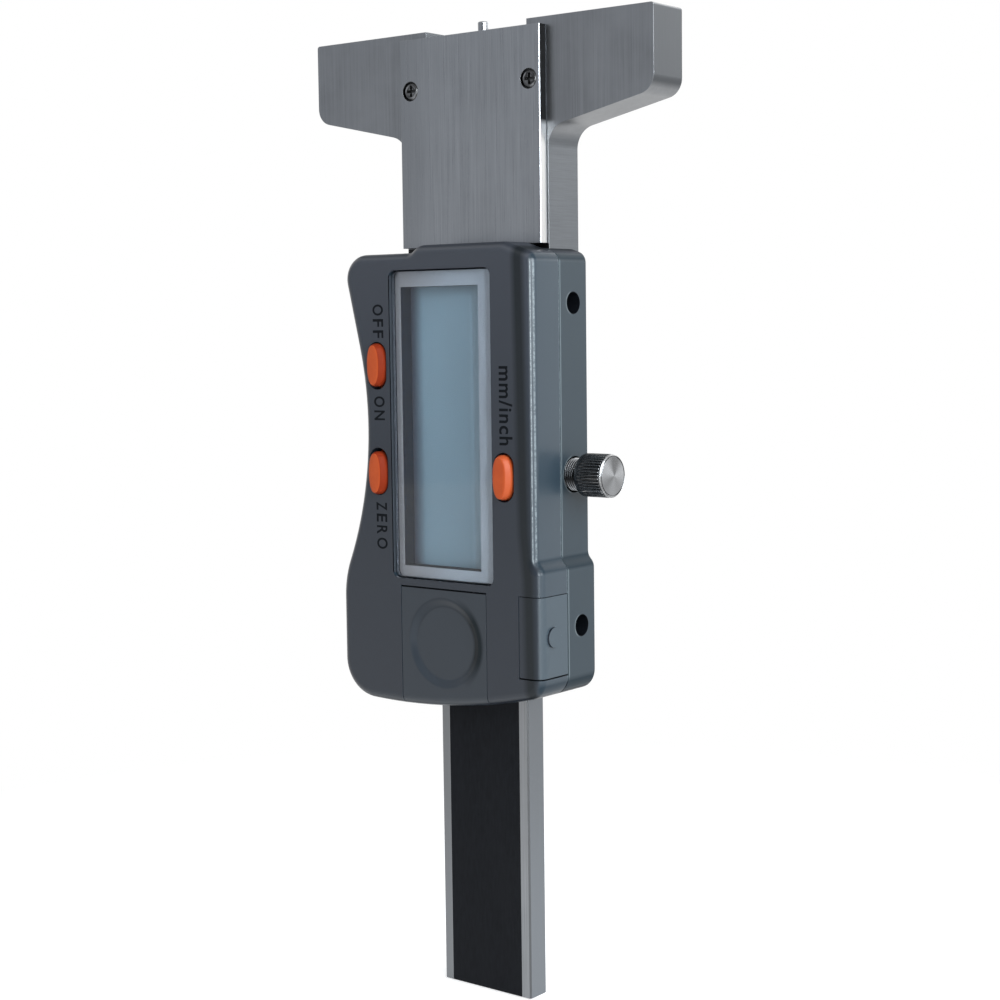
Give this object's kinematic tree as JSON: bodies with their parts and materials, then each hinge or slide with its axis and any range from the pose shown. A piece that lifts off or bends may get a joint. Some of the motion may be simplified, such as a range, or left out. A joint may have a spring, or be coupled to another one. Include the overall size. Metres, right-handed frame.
{
  "type": "depth gauge",
  "caption": "Digital depth gauge: T shaped steel base, sliding scale beam with needle, display housing with buttons, covers and knurled lock screw.",
  "frame": {"origin": "on the measuring face, at mid width, in the middle of the land behind the beam channel", "axes": "+Z leaves the measuring face, +Y leaves the back face of the base, +X points to the lock screw's side; the display looks along -Y"},
  "size_m": [0.06, 0.0153, 0.1389],
  "materials": {
    "base_steel": "satin ground",
    "plate_steel": "vertical brushed",
    "dark_screw": "blackened",
    "brass": "satin",
    "beam_steel": "ground",
    "scale_foil": "satin",
    "needle_steel": "polished",
    "knob_steel": "turned",
    "front_housing": "fine texture",
    "rear_housing": "fine texture",
    "port_plastic": "fine texture",
    "lens": "clear",
    "silver_print": "satin print",
    "tunnel_plastic": "satin",
    "display": "satin",
    "zebra": "matte",
    "board": "solder mask",
    "chip": "matte",
    "switch_metal": "bright",
    "orange_plastic": "satin",
    "cell_metal": "bright",
    "black_plastic": "satin",
    "spring_metal": "nickel plated",
    "gold": "plated"
  },
  "bodies": {
    "base": {"base_block": "base_steel", "front_plate": "plate_steel", "plate_screws": "dark_screw", "gib_strip": "brass", "gib_screws": "dark_screw", "rear_shell": "rear_housing", "front_shell": "front_housing", "window_lens": "lens", "lens_border": "silver_print", "lcd_frame": "tunnel_plastic", "lcd_panel": "display", "zebra_strips": "zebra", "circuit_board": "board", "board_chips": "chip", "key_switches": "switch_metal", "battery": "cell_metal", "battery_holder": "black_plastic", "battery_contact_plus": "spring_metal", "battery_contact_minus": "spring_metal", "port_socket": "black_plastic", "port_contacts": "gold", "housing_screws": "dark_screw"},
    "beam": {"beam": "beam_steel", "scale_strip": "scale_foil", "needle": "needle_steel"},
    "button_off_on_key": {"button_off_on": "orange_plastic"},
    "button_zero_key": {"button_zero": "orange_plastic"},
    "button_mm_inch_key": {"button_mm_inch": "orange_plastic"},
    "cell_cover": {"battery_cover": "front_housing"},
    "data_cover": {"port_cover": "port_plastic"},
    "lock_tip": {"lock_pad": "brass"},
    "lock_screw": {"lock_knob": "knob_steel"}
  },
  "joints": [
    {"name": "beam_slide", "type": "slide", "parent": "base", "child": "beam", "axis": [0, 0, 1], "range_m": [-0.0007, 0.0243]},
    {"name": "off_on_press", "type": "slide", "parent": "base", "child": "button_off_on_key", "axis": [0, 1, 0], "range_m": [0, 0.0004], "stiffness_N_per_m": 1500},
    {"name": "zero_press", "type": "slide", "parent": "base", "child": "button_zero_key", "axis": [0, 1, 0], "range_m": [0, 0.0004], "stiffness_N_per_m": 1500},
    {"name": "mm_inch_press", "type": "slide", "parent": "base", "child": "button_mm_inch_key", "axis": [0, 1, 0], "range_m": [0, 0.0004], "stiffness_N_per_m": 1500},
    {"name": "cell_cover_slide", "type": "slide", "parent": "base", "child": "cell_cover", "axis": [0, 0, -1], "range_m": [0, 0.016]},
    {"name": "data_cover_slide", "type": "slide", "parent": "base", "child": "data_cover", "axis": [1, 0, 0], "range_m": [0, 0.006]},
    {"name": "lock_feed", "type": "slide", "parent": "base", "child": "lock_tip", "axis": [1, 0, 0], "range_m": [-0.00025, 0.001]},
    {"name": "lock_turn", "type": "hinge", "parent": "lock_tip", "child": "lock_screw", "pos_m": [0.01685, -0.00335, -0.0623], "axis": [1, 0, 0], "range_deg": [-180.5, 720.5]}
  ],
  "couplings": [
    {"joint": "lock_turn", "follows": "lock_feed", "rad_per_m": 12566}
  ]
}
